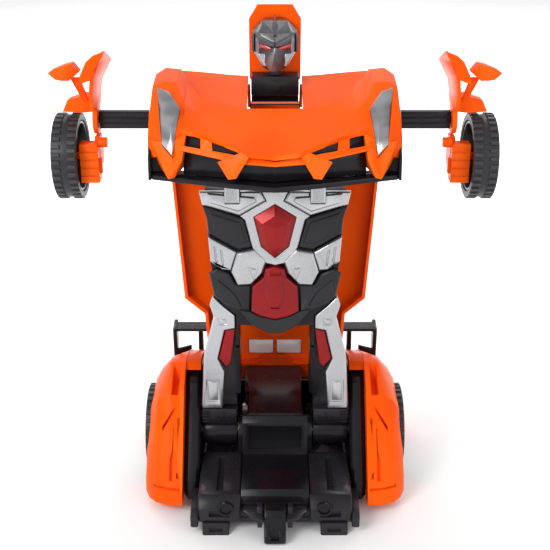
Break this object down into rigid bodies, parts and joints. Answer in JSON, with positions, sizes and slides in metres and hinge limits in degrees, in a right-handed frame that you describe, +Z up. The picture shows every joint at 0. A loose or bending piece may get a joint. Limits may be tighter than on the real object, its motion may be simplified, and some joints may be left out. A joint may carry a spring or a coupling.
{
  "type": "transforming robot car",
  "caption": "Toy car that stands up as a robot: hood chest, telescoping arms with door blades, flip-up head, silver torso armour and rear-car base.",
  "frame": {"origin": "middle of the object's footprint at floor height, standing as a robot", "axes": "+Z up, the robot faces -Y, +X to the right of someone who faces it"},
  "size_m": [0.262, 0.157, 0.294],
  "materials": {
    "orange_shell": "moulded orange plastic, semi-gloss",
    "black_plastic": "moulded black plastic, satin",
    "silver_paint": "plastic with silver metallic paint",
    "charcoal_plastic": "dark grey satin plastic",
    "metallic_red": "plastic with metallic red lacquer",
    "tyre_rubber": "black rubber, fine grain",
    "steel": "turned steel",
    "gunmetal": "plastic with gunmetal lacquer",
    "lamp_lens": "smoked lens over a bright reflector",
    "tail_lens": "red lens",
    "window_white": "pale translucent window",
    "battery_wrap": "shrink-wrapped cells",
    "board_green": "circuit board lacquer"
  },
  "bodies": {
    "base": {"base_chassis": "black_plastic", "left_rear_fender": "orange_shell", "right_rear_fender": "orange_shell", "left_wall_liner": "black_plastic", "right_wall_liner": "black_plastic", "rear_deck": "orange_shell", "rear_bumper": "black_plastic", "tail_lamp": "tail_lens", "rear_wing": "black_plastic", "gearbox_case": "black_plastic", "motor_unit": "steel", "battery_pack": "battery_wrap", "battery_door": "black_plastic", "circuit_board": "board_green", "hip_shaft": "steel"},
    "power_switch": {"power_switch": "charcoal_plastic"},
    "front_latch": {"front_latch": "black_plastic"},
    "rear_wheels": {"rear_axle": "steel", "left_rear_tyre": "tyre_rubber", "right_rear_tyre": "tyre_rubber", "left_rear_rim": "silver_paint", "right_rear_rim": "silver_paint"},
    "spine": {"torso_frame": "black_plastic", "left_leg_cover": "silver_paint", "right_leg_cover": "silver_paint", "left_leg_insert": "metallic_red", "right_leg_insert": "metallic_red", "left_pectoral_plate": "silver_paint", "right_pectoral_plate": "silver_paint", "left_rib_plate": "charcoal_plastic", "right_rib_plate": "charcoal_plastic", "left_side_vent": "silver_paint", "right_side_vent": "silver_paint", "belly_plate": "silver_paint", "hip_guard": "charcoal_plastic", "chest_gem": "metallic_red", "belly_shield": "metallic_red", "back_shell": "orange_shell", "shell_window": "window_white"},
    "chest": {"hood": "orange_shell", "front_bumper": "orange_shell", "left_headlamp": "lamp_lens", "right_headlamp": "lamp_lens", "front_splitter": "black_plastic", "chest_frame": "black_plastic"},
    "head": {"head_plate": "orange_shell", "neck_block": "charcoal_plastic", "head": "gunmetal"},
    "left_tube": {"left_arm_tube": "black_plastic"},
    "right_tube": {"right_arm_tube": "black_plastic"},
    "left_rod": {"left_arm_rod": "black_plastic"},
    "right_rod": {"right_arm_rod": "black_plastic"},
    "left_forearm": {"left_door": "orange_shell", "left_fist": "orange_shell"},
    "right_forearm": {"right_door": "orange_shell", "right_fist": "orange_shell"},
    "left_front_wheel": {"left_front_tyre": "tyre_rubber", "left_front_rim": "black_plastic"},
    "right_front_wheel": {"right_front_tyre": "tyre_rubber", "right_front_rim": "black_plastic"}
  },
  "joints": [
    {"name": "stand_up", "type": "hinge", "parent": "base", "child": "spine", "pos_m": [0, -0.0035, 0.034], "axis": [1, 0, 0], "range_deg": [0, 90]},
    {"name": "chest_level", "type": "hinge", "parent": "spine", "child": "chest", "pos_m": [0, -0.0035, 0.232], "axis": [1, 0, 0], "range_deg": [-90, 0]},
    {"name": "head_flip", "type": "hinge", "parent": "chest", "child": "head", "pos_m": [0, 0.0275, 0.2513], "axis": [1, 0, 0], "range_deg": [0, 104]},
    {"name": "left_arm_slide", "type": "slide", "parent": "chest", "child": "left_tube", "axis": [1, 0, 0], "range_m": [0, 0.022]},
    {"name": "left_rod_slide", "type": "slide", "parent": "left_tube", "child": "left_rod", "axis": [1, 0, 0], "range_m": [0, 0.03]},
    {"name": "right_arm_slide", "type": "slide", "parent": "chest", "child": "right_tube", "axis": [-1, 0, 0], "range_m": [0, 0.022]},
    {"name": "right_rod_slide", "type": "slide", "parent": "right_tube", "child": "right_rod", "axis": [-1, 0, 0], "range_m": [0, 0.03]},
    {"name": "left_forearm_turn", "type": "hinge", "parent": "left_rod", "child": "left_forearm", "pos_m": [-0.105, 0.026, 0.228], "axis": [1, 0, 0], "range_deg": [-90, 0]},
    {"name": "right_forearm_turn", "type": "hinge", "parent": "right_rod", "child": "right_forearm", "pos_m": [0.105, 0.026, 0.228], "axis": [1, 0, 0], "range_deg": [-90, 0]},
    {"name": "left_front_wheel_spin", "type": "hinge", "parent": "left_forearm", "child": "left_front_wheel", "pos_m": [-0.1195, 0.03, 0.2046], "axis": [1, 0, 0], "continuous": true},
    {"name": "right_front_wheel_spin", "type": "hinge", "parent": "right_forearm", "child": "right_front_wheel", "pos_m": [0.1195, 0.03, 0.2046], "axis": [1, 0, 0], "continuous": true},
    {"name": "rear_axle_spin", "type": "hinge", "parent": "base", "child": "rear_wheels", "pos_m": [0, 0.0105, 0.028], "axis": [1, 0, 0], "continuous": true},
    {"name": "power_switch_slide", "type": "slide", "parent": "base", "child": "power_switch", "axis": [0, 1, 0], "range_m": [0, 0.006]},
    {"name": "front_latch_pivot", "type": "hinge", "parent": "base", "child": "front_latch", "pos_m": [0, -0.0675, 0.0125], "axis": [-1, 0, 0], "range_deg": [0, 10], "stiffness_Nm_per_rad": 0.05}
  ],
  "couplings": [
    {"joint": "chest_level", "follows": "stand_up", "ratio": -1},
    {"joint": "left_rod_slide", "follows": "left_arm_slide", "ratio": 1.3636},
    {"joint": "right_arm_slide", "follows": "left_arm_slide", "ratio": 1},
    {"joint": "right_rod_slide", "follows": "left_arm_slide", "ratio": 1.3636},
    {"joint": "left_forearm_turn", "follows": "left_arm_slide", "rad_per_m": -71.39},
    {"joint": "right_forearm_turn", "follows": "left_arm_slide", "rad_per_m": -71.39}
  ]
}
